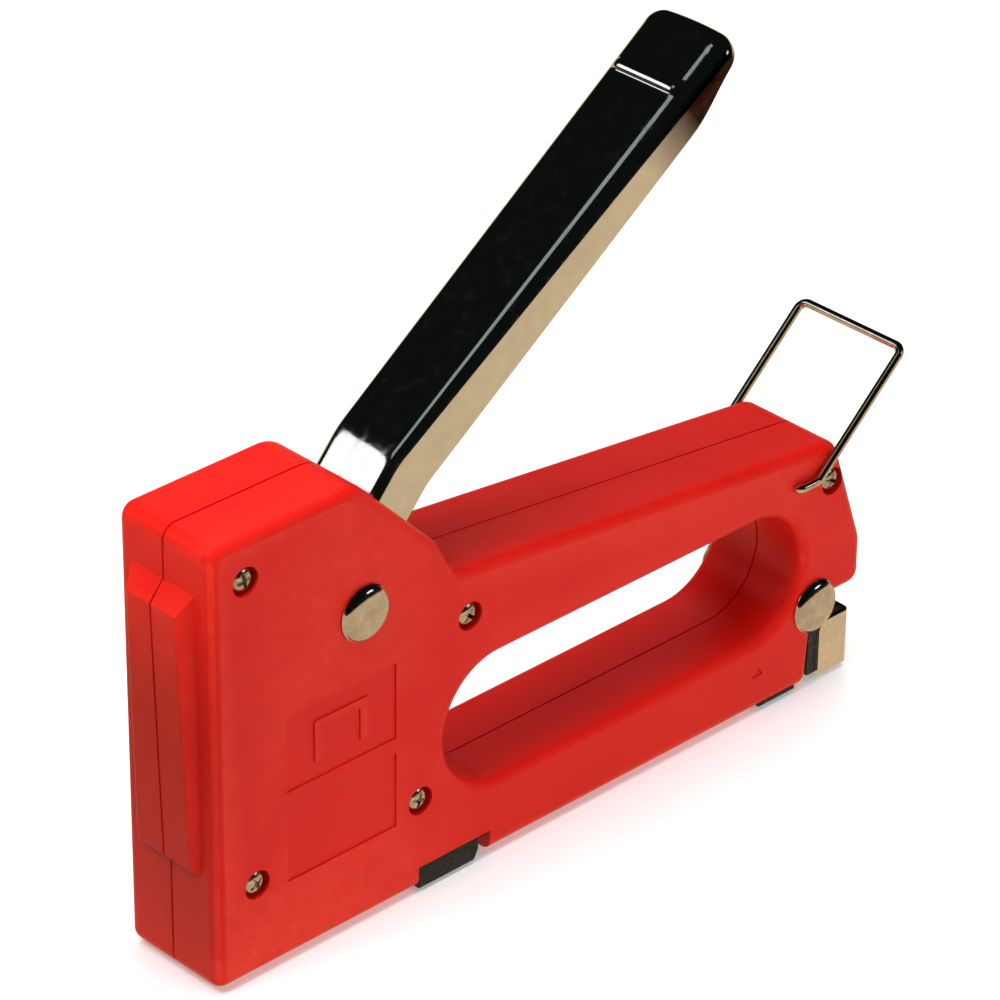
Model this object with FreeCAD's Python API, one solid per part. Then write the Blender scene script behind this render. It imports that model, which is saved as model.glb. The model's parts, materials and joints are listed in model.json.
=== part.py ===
"""Light-duty hand staple gun: two moulded shells round a spring-driven hammer, with a pressed steel
lever on top, a pull-out magazine below the finger opening, and a wire bail that holds the lever shut.

Frame: millimetres. +X runs from the nose to the rear, +Z is up, and the left side is -Y.
The origin is the middle of the front guide plate's bottom edge, in the plane of the sole.
Each function below makes one piece, at rest: lever open, hammer down, magazine home.
"""
import FreeCAD, Part
import math
import os

Vec = FreeCAD.Vector

# ---------------------------------------------------------------- driving dimensions
BODY_WIDTH = 25.4
HALF = BODY_WIDTH / 2
WALL = 2.2
SIDE_WALL = 2.2
NOSE_HEIGHT = 95.0
FRONT_X = -3.0
REAR_X = 170.2
EDGE_ROUND = 2.4
RUNNING = 0.05          # radial clearance of a pin that turns in its hole
SLIDING = 0.1           # clearance on each side of a piece that slides

# Side outline of the shells: x, z and corner radius, clockwise from the front of the sole.
OUTLINE = [
    (FRONT_X, 0.0, 2.6),
    (FRONT_X, NOSE_HEIGHT, 3.2),
    (32.6, NOSE_HEIGHT, 7.0),
    (53.6, 73.8, 8.0),
    (57.4, 66.7, 3.0),
    (161.6, 54.3, 4.5),
    (REAR_X, 29.0, 4.0),
    (REAR_X, 18.4, 3.0),
    (157.2, 18.4, 2.6),
    (155.6, 0.0, 2.6),
]

# Finger opening: a slot with round ends.
OPENING_X = (55.0, 152.5)
OPENING_Z = (16.2, 44.0)

# Tapered pad on the nose: half its width at the root and at the top of its face, how far the face stands
# out at its bottom and top, and the heights of the lower root, the face's bottom and top, and the upper root.
PAD_HALF = (8.5, 6.75)
PAD_DEPTH = (1.65, 3.3)
PAD_Z = (24.4, 25.7, 80.5, 84.4)
PAD_EDGE_R = 0.8

# Groove where the shells meet: its width in each shell, and its depth.
SEAM_HALF = 0.22
SEAM_DEPTH = 0.35

# Side panels: x range and z ranges, with how deep they are; and the strokes of the staple mark.
PANEL_X = (14.5, 41.8)
PANELS_Z = [(36.7, 53.3), (17.0, 33.5)]
PANEL_DEPTH = 0.3
MARK_X = (21.5, 34.8)
MARK_Z = (40.4, 49.2)
MARK_STROKE = 2.0
ARROW = [(139.0, 8.0), (142.0, 8.0), (140.5, 10.4)]

# Screws: x and z of each axis.
SCREWS = [(5.4, 85.8), (60.7, 55.6), (48.0, 19.9), (7.0, 19.9), (160.3, 45.6)]
SCREW_R = 1.45
SCREW_HEAD_R = 2.9
SCREW_HEAD_H = 2.0
SCREW_SUNK = 0.25
SCREW_LENGTH = 17.0
BOSS_R = 3.6
RECESS_ARM = (0.5, 1.9)
RECESS_DEPTH = 1.1

# Domed pins: x and z of the lever's pivot and of the catch at the rear.
PIVOT = (33.9, 67.6)
CATCH = (156.4, 18.2)
PIVOT_PIN_R = 3.0
CATCH_PIN_R = 2.0
CATCH_LOBE_R = 4.3
PIVOT_BOSS_R = 7.0
DOME_R = 5.85
DOME_H = 2.3

# Lever: a channel of sheet steel, from the kink near its base to its tip.
SHEET = 1.2
LEVER_ANGLE = 35.5
BASE_ANGLE = 49.0
KINK = (45.6, 93.7)
LEVER_LENGTH = 102.8
BASE_LENGTH = 12.0
BASE_WIDTH = 17.8
TIP_WIDTH = 22.6
BASE_DEPTH = 10.9
TIP_DEPTH = 7.4
BASE_EDGE_R = 2.0
TIP_EDGE_R = 4.4
TIP_FILLET = 2.6
RIDGE_AT = 86.5
RIDGE_R = 1.9
RIDGE_HALF = 6.2
RIDGE_SUNK = 1.2
CHEEK_R = 7.0
SLOT_HALF = 9.3
# Where the sides sweep up towards the tip: distance from the kink and depth below the top.
TIP_SWEEP = [(84.0, 14.0), (84.0, 8.2), (94.0, 6.4), (104.0, 5.2), (104.0, 14.0)]

# Side outline of the slot in the shells that the lever closes into.
LEVER_SLOT = [(38.0, 100.0), (38.0, 80.0), (50.0, 67.3), (59.0, 67.3), (75.0, 100.0)]

# Hammer and spring in the nose.
LIFT_PIN_X = 16.2
LIFT_START = 20.7       # how far below the pivot the lift pin starts, in degrees
LIFT_PIN_R = 1.6
FINGER_GAP = 0.3
HAMMER_Z = (36.1, 43.5)
SPRING_X = 7.9
SPRING_TOP = 80.3
MAIN_WIRE = 1.6
MAIN_MEAN_R = 4.8
BLADE_X = (0.65, 1.65)
BLADE_HALF = 5.4
PLATE_HALF_THICK = 0.6
PLATE_HALF = 10.3
HAMMER_REAR = 18.8
HAMMER_HALF = 5.9
HAMMER_TOP = 64.8
BUMPER_Z = 30.0

# Magazine under the finger opening.
CHANNEL_HALF = 6.8
CHANNEL_TOP = 12.6
CHANNEL_X = (1.85, 152.0)
STEEL = 0.9
RAIL_HALF = 4.4
RAIL_Z = (1.9, 10.3)
ROD_R = 1.2
ROD_Z = 6.0
NOTCH_X = (47.6, 66.4)
NOTCH_H = 4.8
RELIEF_X = (141.5, 157.0)
END_BLOCK_X = (156.9, 167.0)
CLIP_X = (159.0, 168.0)
CLIP_Z = (0.3, 12.5)

END_BLOCK_HALF = 11.2
PLUG_LENGTH = 2.0
CLIP_HALF = 12.25
CLIP_CORNER_R = 1.6
CLIP_FRONT_R = 2.2
RIVET = (163.0, 6.2)
RIVET_R = 1.6

# Ribs inside each shell: thickness, and rows of x places with how far they reach in and their z range.
RIB = 2.0
RIB_T = 1.8
SEAT_T = 1.2
SPRING_RIB_END = 19.5
RIB_ROWS = [
    ((24.0, 72.0, 96.0, 120.0, 142.0), -CHANNEL_HALF - SLIDING, (1.0, 15.0)),
    ((22.0, 40.0), -CHANNEL_HALF - SLIDING, (12.0, 30.0)),
    ((84.0, 108.0, 132.0), -HALF + 5, (44.0, 66.0)),
]

# Wire bail over the rear of the handle: its hinge, a short run forward of the arms, and the arms.
BAIL = (149.7, 48.2)
BAIL_WIRE_R = 0.9
BAIL_KICK = 5.2
BAIL_ARM = 31.6
BAIL_LEAN = 42.6
BAIL_HALF = 13.75
BAIL_FOOT = 4.6
BAIL_ANKLE_R = 1.0
BAIL_KICK_R = 1.8
BAIL_CORNER_R = 1.9


# ---------------------------------------------------------------- shape helpers
def box(x, y, z):
    """Box from three (low, high) pairs."""
    return Part.makeBox(x[1] - x[0], y[1] - y[0], z[1] - z[0], Vec(x[0], y[0], z[0]))


def cross_cylinder(centre, radius, y):
    """Cylinder along Y, from y[0] to y[1], round the axis at centre (x, z)."""
    return Part.makeCylinder(radius, y[1] - y[0], Vec(centre[0], y[0], centre[1]), Vec(0, 1, 0))


def fuse(shapes):
    """One clean solid from several that touch or overlap."""
    return shapes[0].multiFuse(shapes[1:]).removeSplitter()


def prism(points, y):
    """Straight-sided outline of (x, z) points, extruded from y[0] to y[1]."""
    corners = [Vec(px, y[0], pz) for px, pz in points]
    face = Part.Face(Part.makePolygon(corners + corners[:1]))
    return face.extrude(Vec(0, y[1] - y[0], 0))


def rounded_wire(outline, inset=0.0):
    """Closed wire in the plane y = 0 with an arc at each corner, moved inwards by inset."""
    edges = []
    starts = []
    count = len(outline)
    for i in range(count):
        before, here, after = (Vec(*outline[(i + k) % count][:2]) for k in (-1, 0, 1))
        radius = outline[i][2]
        back = (before - here).normalize()
        ahead = (after - here).normalize()
        half_turn = math.acos(max(-1.0, min(1.0, back.dot(ahead)))) / 2
        reach = radius / math.tan(half_turn)
        middle = here + (back + ahead).normalize() * (radius / math.sin(half_turn) - radius)
        starts.append((here + back * reach, middle, here + ahead * reach))
    for i in range(count):
        first, middle, last = (Vec(p.x, 0, p.y) for p in starts[i])
        following = starts[(i + 1) % count][0]
        edges.append(Part.Arc(first, middle, last).toShape())
        edges.append(Part.LineSegment(last, Vec(following.x, 0, following.y)).toShape())
    wire = Part.Wire(edges)
    if inset:
        wire = wire.makeOffset2D(-inset)
    return wire


def slab(wire, y):
    """Solid from a wire in the plane y = 0, from y[0] to y[1]."""
    face = Part.Face(wire)
    face.translate(Vec(0, y[0], 0))
    return face.extrude(Vec(0, y[1] - y[0], 0))


def slot_slab(margin, y):
    """The finger opening, grown by margin, as a solid from y[0] to y[1]."""
    low, high = OPENING_Z
    radius = (high - low) / 2
    middle = (low + high) / 2
    ends = (OPENING_X[0] + radius, OPENING_X[1] - radius)
    grown = radius + margin
    pieces = [cross_cylinder((end, middle), grown, y) for end in ends]
    pieces.append(box(ends, y, (middle - grown, middle + grown)))
    return fuse(pieces)


def mirrored(shape):
    """The same shape on the other side of the plane y = 0."""
    return shape.mirror(Vec(0, 0, 0), Vec(0, 1, 0))


def coil(pitch, length, mean_radius, wire_radius):
    """Helical spring along +Z from the origin."""
    helix = Part.Wire(Part.makeHelix(pitch, length, mean_radius).Edges)
    edge = helix.Edges[0]
    start = edge.valueAt(edge.FirstParameter)
    section = Part.Wire(Part.makeCircle(wire_radius, start, edge.tangentAt(edge.FirstParameter)))
    return helix.makePipeShell([section], True, True)


def domed_head(centre, outside, side):
    """Low dome against the side wall at y = outside; side is -1 for left and 1 for right."""
    sphere_r = (DOME_R ** 2 + DOME_H ** 2) / (2 * DOME_H)
    ball = Part.makeSphere(sphere_r, Vec(centre[0], outside + side * (DOME_H - sphere_r), centre[1]))
    reach = (outside, outside + side * 2 * DOME_H)
    return ball.common(cross_cylinder(centre, DOME_R, (min(reach), max(reach))))


# ---------------------------------------------------------------- shells
def nose_pad(inset):
    """Tapered pad on the nose, across the centre plane, with its face and sides moved inwards by inset."""
    root = FRONT_X + 0.5
    low, high = (FRONT_X - depth + inset for depth in PAD_DEPTH)
    profile = prism([(root, PAD_Z[0] + inset), (FRONT_X, PAD_Z[0] + inset), (low, PAD_Z[1] + inset),
                     (high, PAD_Z[2] - inset), (FRONT_X, PAD_Z[3] - inset), (root, PAD_Z[3] - inset)],
                    (-PAD_HALF[0], PAD_HALF[0]))
    root_half, face_half = (half - inset for half in PAD_HALF)
    near = [Vec(root, -root_half, 0), Vec(FRONT_X, -root_half, 0), Vec(high, -face_half, 0)]
    far = [Vec(v.x, -v.y, 0) for v in reversed(near)]
    plan = Part.Face(Part.makePolygon(near + far + near[:1])).extrude(Vec(0, 0, NOSE_HEIGHT))
    return profile.common(plan)


def soft_pad():
    """The pad with its face's edges and corners rounded."""
    pad = nose_pad(0.0)
    outer = [e for e in pad.Edges if all(v.X < FRONT_X - 0.1 for v in e.Vertexes)]
    return pad.makeFillet(PAD_EDGE_R, outer)


def outer_shell():
    """Left half of the outside, with its outer edges rounded and a groove along the seam."""
    body = slab(rounded_wire(OUTLINE), (-HALF, 0))
    body = body.cut(slot_slab(0.0, (-HALF - 1, 1)))
    rim = [e for e in body.Edges if abs(e.BoundBox.YMin + HALF) < 1e-6 and abs(e.BoundBox.YMax + HALF) < 1e-6]
    body = body.makeFillet(EDGE_ROUND, rim)
    lobe = cross_cylinder(CATCH, CATCH_LOBE_R, (-HALF + EDGE_ROUND, 0))
    pad = soft_pad().common(box((FRONT_X - 5, FRONT_X + 5), (-HALF, 0), (0, NOSE_HEIGHT)))
    outside = fuse([body, lobe, pad])
    core = fuse([slab(rounded_wire(OUTLINE, SEAM_DEPTH), (-SEAM_HALF, 0)), nose_pad(SEAM_DEPTH),
                 cross_cylinder(CATCH, CATCH_LOBE_R - SEAM_DEPTH, (-SEAM_HALF, 0))])
    core = core.cut(slot_slab(SEAM_DEPTH, (-HALF, 1)))
    seam_zone = box((FRONT_X - 10, REAR_X + 10), (-SEAM_HALF, 1), (-1, NOSE_HEIGHT + 1))
    return outside.cut(seam_zone.cut(core))


def cavity():
    """Hollow of the left half: the outline less one wall, without the wall round the opening."""
    hollow = slab(rounded_wire(OUTLINE, WALL), (-HALF + SIDE_WALL, 1))
    return hollow.cut(slot_slab(WALL, (-HALF, 2)))


def inner_ribs():
    """Ribs and bosses that hold the inner pieces, before they are trimmed to the outline."""
    root = -HALF + 1
    depth = (root, 0)
    pieces = [cross_cylinder(axis, BOSS_R, depth) for axis in SCREWS]
    pieces.append(cross_cylinder(CATCH, CATCH_LOBE_R, depth))
    pieces.append(cross_cylinder(PIVOT, PIVOT_BOSS_R, (root, -SLOT_HALF)))
    pieces.append(box((FRONT_X + 1, SPRING_RIB_END), depth, (SPRING_TOP + SEAT_T, SPRING_TOP + SEAT_T + RIB)))
    pieces.append(box((4.0, 20.5), depth, (BUMPER_Z - RIB, BUMPER_Z)))
    for x_places, reach, z in RIB_ROWS:
        for x in x_places:
            pieces.append(box((x, x + RIB_T), (root, reach), z))
    plate_rib_x = (-PLATE_HALF_THICK, BLADE_X[1])
    pieces.append(box(plate_rib_x, (root, -PLATE_HALF - SLIDING), (1.0, SPRING_TOP + RIB)))
    return fuse(pieces)


def shell_openings():
    """Everything that is cut from a shell for the pieces that pass through its walls."""
    half = CHANNEL_HALF + SLIDING
    cuts = [
        box((-0.65, END_BLOCK_X[1]), (-half, 1), (-1, CHANNEL_TOP + SLIDING)),
        box((-PLATE_HALF_THICK - RUNNING, PLATE_HALF_THICK + RUNNING), (-PLATE_HALF - RUNNING, 1),
            (-1, SPRING_TOP + SLIDING)),
        box(NOTCH_X, (-HALF - 1, 1), (-1, NOTCH_H)),
        box(RELIEF_X, (-HALF - 1, 1), (-1, 1.0)),
        prism(LEVER_SLOT, (-SLOT_HALF, 1)),
        cross_cylinder(PIVOT, PIVOT_PIN_R, (-HALF - 1, 1)),
        cross_cylinder(CATCH, CATCH_PIN_R, (-HALF - 1, 1)),
        cross_cylinder(BAIL, BAIL_WIRE_R + RUNNING, (-HALF - 1, -HALF + SIDE_WALL + 1)),
    ]
    return fuse(cuts)


def side_decoration(side):
    """Two shallow panels and a small loading mark on the side wall at y = side * HALF."""
    y = (side * HALF - PANEL_DEPTH, side * HALF + PANEL_DEPTH)
    panels = [box(PANEL_X, y, z) for z in PANELS_Z]
    legs = [(MARK_X[0], MARK_X[0] + MARK_STROKE), (MARK_X[1] - MARK_STROKE, MARK_X[1])]
    crown = box(MARK_X, y, (MARK_Z[1] - MARK_STROKE, MARK_Z[1]))
    staple = fuse([crown] + [box(leg, y, MARK_Z) for leg in legs])
    return [panels[0].cut(staple), panels[1], prism(ARROW, y)]


def half_shell():
    """What both shells share, as the left one."""
    shell = outer_shell().cut(cavity())
    ribs = inner_ribs().common(slab(rounded_wire(OUTLINE, 1.0), (-HALF, 0)))
    shell = fuse([shell, ribs.cut(slot_slab(1.0, (-HALF - 1, 1)))])
    return shell.cut(shell_openings())


def left_housing():
    shell = half_shell()
    sunk = -HALF + SCREW_HEAD_H + SCREW_SUNK
    for axis in SCREWS:
        shell = shell.cut(cross_cylinder(axis, SCREW_R + SLIDING, (-HALF - 1, 1)))
        shell = shell.cut(cross_cylinder(axis, SCREW_HEAD_R + SLIDING, (-HALF - 1, sunk)))
    for cut in side_decoration(-1):
        shell = shell.cut(cut)
    return shell


def right_housing():
    shell = mirrored(half_shell())
    for axis in SCREWS:
        shell = shell.cut(cross_cylinder(axis, SCREW_R, (-1, SCREW_LENGTH - HALF + 2)))
    for cut in side_decoration(1):
        shell = shell.cut(cut)
    return shell


def housing_screws():
    """Five pan-head screws with a cross recess, from the left."""
    head_y = -HALF + SCREW_SUNK
    screws = []
    for x, z in SCREWS:
        head = cross_cylinder((x, z), SCREW_HEAD_R, (head_y, head_y + SCREW_HEAD_H))
        shank = cross_cylinder((x, z), SCREW_R, (head_y + SCREW_HEAD_H, head_y + SCREW_LENGTH))
        screw = fuse([head, shank])
        for across, up in (RECESS_ARM, RECESS_ARM[::-1]):
            depth = (head_y - 1, head_y + RECESS_DEPTH)
            screw = screw.cut(box((x - across, x + across), depth, (z - up, z + up)))
        screws.append(screw)
    return Part.makeCompound(screws)


# ---------------------------------------------------------------- domed pins
def domed_pin(centre, radius):
    """Pin through both shells, with its domed head on the left."""
    shank = cross_cylinder(centre, radius, (-HALF, HALF))
    return fuse([shank, domed_head(centre, -HALF, -1)])


def pin_cap(centre):
    """Domed cap pressed onto the right end of a pin."""
    return domed_head(centre, HALF, 1)


def lever_pivot_sleeve():
    """Bush that keeps the lever's two cheeks apart on the pin."""
    reach = BASE_WIDTH / 2 - SHEET - 0.3
    return cross_cylinder(PIVOT, 4.1, (-reach, reach)).cut(cross_cylinder(PIVOT, PIVOT_PIN_R, (-HALF, HALF)))


# ---------------------------------------------------------------- lever
def channel_section(place, angle, half_width, depth, edge_r):
    """Wire of an arched channel's outside: flat top, round edges, straight sides."""
    along = math.radians(angle)
    normal = Vec(-math.sin(along), 0, math.cos(along))
    top = Vec(place[0], 0, place[1])

    def point(y, drop):
        return top + Vec(0, y, 0) - normal * drop

    slope = edge_r * (1 - math.sqrt(0.5))
    flat = half_width - edge_r
    return Part.Wire([
        Part.LineSegment(point(-half_width, depth), point(-half_width, edge_r)).toShape(),
        Part.Arc(point(-half_width, edge_r), point(-half_width + slope, slope), point(-flat, 0)).toShape(),
        Part.LineSegment(point(-flat, 0), point(flat, 0)).toShape(),
        Part.Arc(point(flat, 0), point(half_width - slope, slope), point(half_width, edge_r)).toShape(),
        Part.LineSegment(point(half_width, edge_r), point(half_width, depth)).toShape(),
        Part.LineSegment(point(half_width, depth), point(-half_width, depth)).toShape(),
    ])


def along_line(start, angle, distance, drop=0.0):
    """Point at a distance along a direction in the side view, dropped square to it."""
    turn = math.radians(angle)
    return (start[0] + distance * math.cos(turn) + drop * math.sin(turn),
            start[1] + distance * math.sin(turn) - drop * math.cos(turn))


def lever_body(inset, end_gap, extra_depth):
    """The lever's channel from inside its slot to its tip, shrunk by inset."""
    bisector = (LEVER_ANGLE + BASE_ANGLE) / 2
    base = along_line(KINK, BASE_ANGLE, -BASE_LENGTH, inset)
    kink = along_line(KINK, bisector, 0, inset)
    tip = along_line(KINK, LEVER_ANGLE, LEVER_LENGTH - end_gap, inset)
    edge_base = max(BASE_EDGE_R - inset, 0.6)
    sections = [
        channel_section(base, BASE_ANGLE, BASE_WIDTH / 2 - inset, BASE_DEPTH + extra_depth, edge_base),
        channel_section(kink, bisector, BASE_WIDTH / 2 - inset, BASE_DEPTH + extra_depth, edge_base),
        channel_section(tip, LEVER_ANGLE, TIP_WIDTH / 2 - inset, TIP_DEPTH + extra_depth, TIP_EDGE_R - inset),
    ]
    return Part.makeLoft(sections, True, True)


def lift_direction():
    """Unit vectors along the lever's finger and square to it, upwards, at rest."""
    start = math.radians(LIFT_START)
    return Vec(-math.cos(start), 0, -math.sin(start)), Vec(-math.sin(start), 0, math.cos(start))


def lever_cheek():
    """Side plate from the channel's base round the pivot to the finger under the lift pin."""
    ahead, up = lift_direction()
    centre = Vec(PIVOT[0], 0, PIVOT[1])
    top = -LIFT_PIN_R - FINGER_GAP

    def finger(distance, offset):
        spot = centre + ahead * distance + up * offset
        return (spot.x, spot.z)

    y = (BASE_WIDTH / 2 - SHEET, BASE_WIDTH / 2)
    arm = prism([finger(0, top), finger(22.0, top), finger(22.4, top - 2.4), finger(10.0, top - 5.0),
                 finger(0, -6.6)], y)
    lower_base = along_line(KINK, BASE_ANGLE, -BASE_LENGTH, BASE_DEPTH)
    upper_base = along_line(KINK, BASE_ANGLE, -BASE_LENGTH, 0)
    neck = prism([
        along_line(KINK, BASE_ANGLE, -BASE_LENGTH + 1.5, 1.2),
        (upper_base[0] + 0.6, upper_base[1] - 0.9),
        (PIVOT[0] - 6.9, PIVOT[1] + 1.6),
        (PIVOT[0] + 6.6, PIVOT[1] - 2.2),
        (lower_base[0], lower_base[1]),
        along_line(KINK, BASE_ANGLE, -BASE_LENGTH + 1.5, BASE_DEPTH),
    ], y)
    cheek = fuse([arm, neck, cross_cylinder(PIVOT, CHEEK_R, y)])
    return cheek.cut(cross_cylinder(PIVOT, PIVOT_PIN_R + RUNNING, (0, HALF)))


def at_tip(edge):
    """Whether an edge lies in the lever's end plane, above its lowest quarter."""
    turn = math.radians(LEVER_ANGLE)
    tip_x, tip_z = along_line(KINK, LEVER_ANGLE, LEVER_LENGTH)
    gaps = [(v.X - tip_x) * math.cos(turn) + (v.Z - tip_z) * math.sin(turn) for v in edge.Vertexes]
    return all(abs(gap) < 1e-4 for gap in gaps) and edge.BoundBox.ZMax > tip_z - TIP_DEPTH * 0.75


def lever():
    shell = lever_body(0.0, 0.0, 0.0)
    shell = shell.makeFillet(TIP_FILLET, [e for e in shell.Edges if at_tip(e)])
    shell = shell.cut(lever_body(SHEET, SHEET * 1.5, TIP_DEPTH))
    sweep = [along_line(KINK, LEVER_ANGLE, distance, drop) for distance, drop in TIP_SWEEP]
    shell = shell.cut(prism(sweep, (-HALF, HALF)))
    ridge_axis = along_line(KINK, LEVER_ANGLE, RIDGE_AT, RIDGE_SUNK)
    ridge = cross_cylinder(ridge_axis, RIDGE_R, (-RIDGE_HALF, RIDGE_HALF))
    for end in (-RIDGE_HALF, RIDGE_HALF):
        ridge = ridge.fuse(Part.makeSphere(RIDGE_R, Vec(ridge_axis[0], end, ridge_axis[1])))
    ridge = ridge.common(lever_body(-1.0, 0.0, 0.0)).cut(lever_body(SHEET * 0.5, 0.0, TIP_DEPTH))
    cheek = lever_cheek()
    return fuse([shell, ridge, cheek, mirrored(cheek)])


def lever_return_spring():
    """Coil of the torsion spring round the pivot sleeve, without its legs."""
    length = 9.0
    spring = coil(1.5, length, 5.3, 0.6)
    spring.rotate(Vec(0, 0, 0), Vec(1, 0, 0), -90)
    spring.translate(Vec(PIVOT[0], -length / 2, PIVOT[1]))
    return spring


# ---------------------------------------------------------------- hammer, blade and springs
def lift_pin_centre():
    ahead, _ = lift_direction()
    reach = (PIVOT[0] - LIFT_PIN_X) / math.cos(math.radians(LIFT_START))
    centre = Vec(PIVOT[0], 0, PIVOT[1]) + ahead * reach
    return (centre.x, centre.z)


def hammer():
    """Steel block under the spring, with two cheeks behind the spring for the lift pin."""
    low, high = HAMMER_Z
    pieces = [
        box((BLADE_X[1] + SLIDING, HAMMER_REAR), (-HAMMER_HALF, HAMMER_HALF), (low, high)),
        box((BLADE_X[0] + 0.25, 3.0), (-1.95, 1.95), (38.05, 41.45)),
        Part.makeCylinder(3.5, 4.0, Vec(SPRING_X, 0, high)),
    ]
    for side in ((-HAMMER_HALF, -3.2), (3.2, HAMMER_HALF)):
        pieces.append(box((13.9, HAMMER_REAR), side, (high - 1, HAMMER_TOP)))
    pin_hole = cross_cylinder(lift_pin_centre(), LIFT_PIN_R, (-HALF, HALF))
    return fuse(pieces).cut(pin_hole)


def driver_blade():
    """Spring-steel blade that drives one staple, hooked onto the hammer."""
    blade = box(BLADE_X, (-BLADE_HALF, BLADE_HALF), (0.6, HAMMER_Z[1]))
    return blade.cut(box((0, 3), (-2, 2), (38.0, 41.5)))


def hammer_lift_pin():
    return cross_cylinder(lift_pin_centre(), LIFT_PIN_R, (-SLOT_HALF, SLOT_HALF))


def main_spring():
    """Compression spring between the hammer and the seat under the top rib."""
    low = HAMMER_Z[1] + MAIN_WIRE / 2 + 0.05
    high = SPRING_TOP - MAIN_WIRE / 2 - 0.05
    spring = coil(3.1, high - low, MAIN_MEAN_R, MAIN_WIRE / 2)
    spring.translate(Vec(SPRING_X, 0, low))
    return spring


def main_spring_seat():
    """Steel cup that spreads the spring's load on the plastic rib."""
    plate = Part.makeCylinder(6.0, SEAT_T, Vec(SPRING_X, 0, SPRING_TOP))
    return fuse([plate, Part.makeCylinder(3.5, 3.0, Vec(SPRING_X, 0, SPRING_TOP - 3.0))])


def bumper():
    """Rubber block that stops the hammer."""
    block = box((6.0, 18.0), (-6.0, 6.0), (BUMPER_Z, HAMMER_Z[0] - SLIDING))
    upright = [e for e in block.Edges if e.BoundBox.ZLength > 1]
    return block.makeFillet(1.5, upright)


def front_plate():
    """Steel plate that the staple runs down."""
    thick = (-PLATE_HALF_THICK, PLATE_HALF_THICK)
    return box(thick, (-PLATE_HALF, PLATE_HALF), (0.0, SPRING_TOP))


# ---------------------------------------------------------------- magazine
def magazine_channel():
    """Black steel channel, open below, with two locating lugs and a wide foot at the rear."""
    x = CHANNEL_X
    inner = CHANNEL_HALF - STEEL
    outside = box(x, (-CHANNEL_HALF, CHANNEL_HALF), (0.3, CHANNEL_TOP))
    inside = box((x[0] - 1, x[1] + 1), (-inner, inner), (-1, CHANNEL_TOP - STEEL))
    lug_x = (NOTCH_X[0] + 0.05, NOTCH_X[0] + 15.6)
    lug = prism([(lug_x[0], 0), (lug_x[1] - 1.1, 0), (lug_x[1], 2.1), (lug_x[1], NOTCH_H - 0.05),
                 (lug_x[0], NOTCH_H - 0.05)], (-HALF + 0.05, HALF - 0.05))
    foot = box((RELIEF_X[0] + 0.1, x[1]), (-HALF + 0.4, HALF - 0.4), (0.1, 0.9))
    return fuse([outside, lug, foot]).cut(inside)


def staple_rail():
    """Inverted steel channel that the staples straddle, with a front tab for the rod."""
    x = (CHANNEL_X[0] + SLIDING, END_BLOCK_X[0] - PLUG_LENGTH)
    outside = box(x, (-RAIL_HALF, RAIL_HALF), RAIL_Z)
    inside = box((x[0] - 1, x[1] + 1), (-RAIL_HALF + 0.8, RAIL_HALF - 0.8), (0, RAIL_Z[1] - 0.8))
    tab = box((x[0], x[0] + 1.0), (-RAIL_HALF + 0.8, RAIL_HALF - 0.8), (2.4, RAIL_Z[1] - 0.8))
    hole = Part.makeCylinder(ROD_R, 4, Vec(x[0] - 1, 0, ROD_Z), Vec(1, 0, 0))
    return fuse([outside.cut(inside), tab]).cut(hole)


def pusher_rod():
    start = CHANNEL_X[0] + 0.2
    return Part.makeCylinder(ROD_R, END_BLOCK_X[0] - start, Vec(start, 0, ROD_Z), Vec(1, 0, 0))


def pusher_rod_nut():
    """Push-on nut that keeps the rod in the rail's front tab."""
    start = CHANNEL_X[0] + 1.1
    ring = Part.makeCylinder(2.4, 1.0, Vec(start, 0, ROD_Z), Vec(1, 0, 0))
    return ring.cut(Part.makeCylinder(ROD_R, 3, Vec(start - 1, 0, ROD_Z), Vec(1, 0, 0)))


def follower():
    """Steel saddle over the rail, closed under it to a slider on the rod."""
    x = (4.6, 15.0)
    outer = CHANNEL_HALF - STEEL - 0.15
    inner = RAIL_HALF + 0.15
    saddle = box(x, (-outer, outer), (0.9, CHANNEL_TOP - STEEL - 0.15))
    saddle = saddle.cut(box((0, 20), (-inner, inner), (1.7, RAIL_Z[1] + 0.15)))
    slider = box(x, (-3.4, 3.4), (1.0, 9.3))
    hole = Part.makeCylinder(ROD_R + RUNNING, 20, Vec(0, 0, ROD_Z), Vec(1, 0, 0))
    return fuse([saddle, slider]).cut(hole)


def pusher_spring():
    """Long light spring on the rod, from the follower to the end block."""
    start = 15.4
    length = END_BLOCK_X[0] - 2.4 - start
    spring = coil(2.9, length - 0.8, 2.3, 0.3)
    spring.rotate(Vec(0, 0, 0), Vec(0, 1, 0), 90)
    spring.translate(Vec(start + 0.4, 0, ROD_Z))
    return spring


def magazine_end_block():
    """Black block that closes the magazine, with a plug in the housing for the rail and rod."""
    block = box(END_BLOCK_X, (-END_BLOCK_HALF, END_BLOCK_HALF), (0.5, 12.0))
    plug = box((END_BLOCK_X[0] - PLUG_LENGTH, END_BLOCK_X[0]), (-6.5, 6.5), (1.4, 12.0))
    rivet = cross_cylinder(RIVET, RIVET_R, (-HALF, HALF))
    rod = Part.makeCylinder(ROD_R, 4, Vec(END_BLOCK_X[0] - 4, 0, ROD_Z), Vec(1, 0, 0))
    return fuse([block, plug]).cut(rivet).cut(rod)


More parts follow.
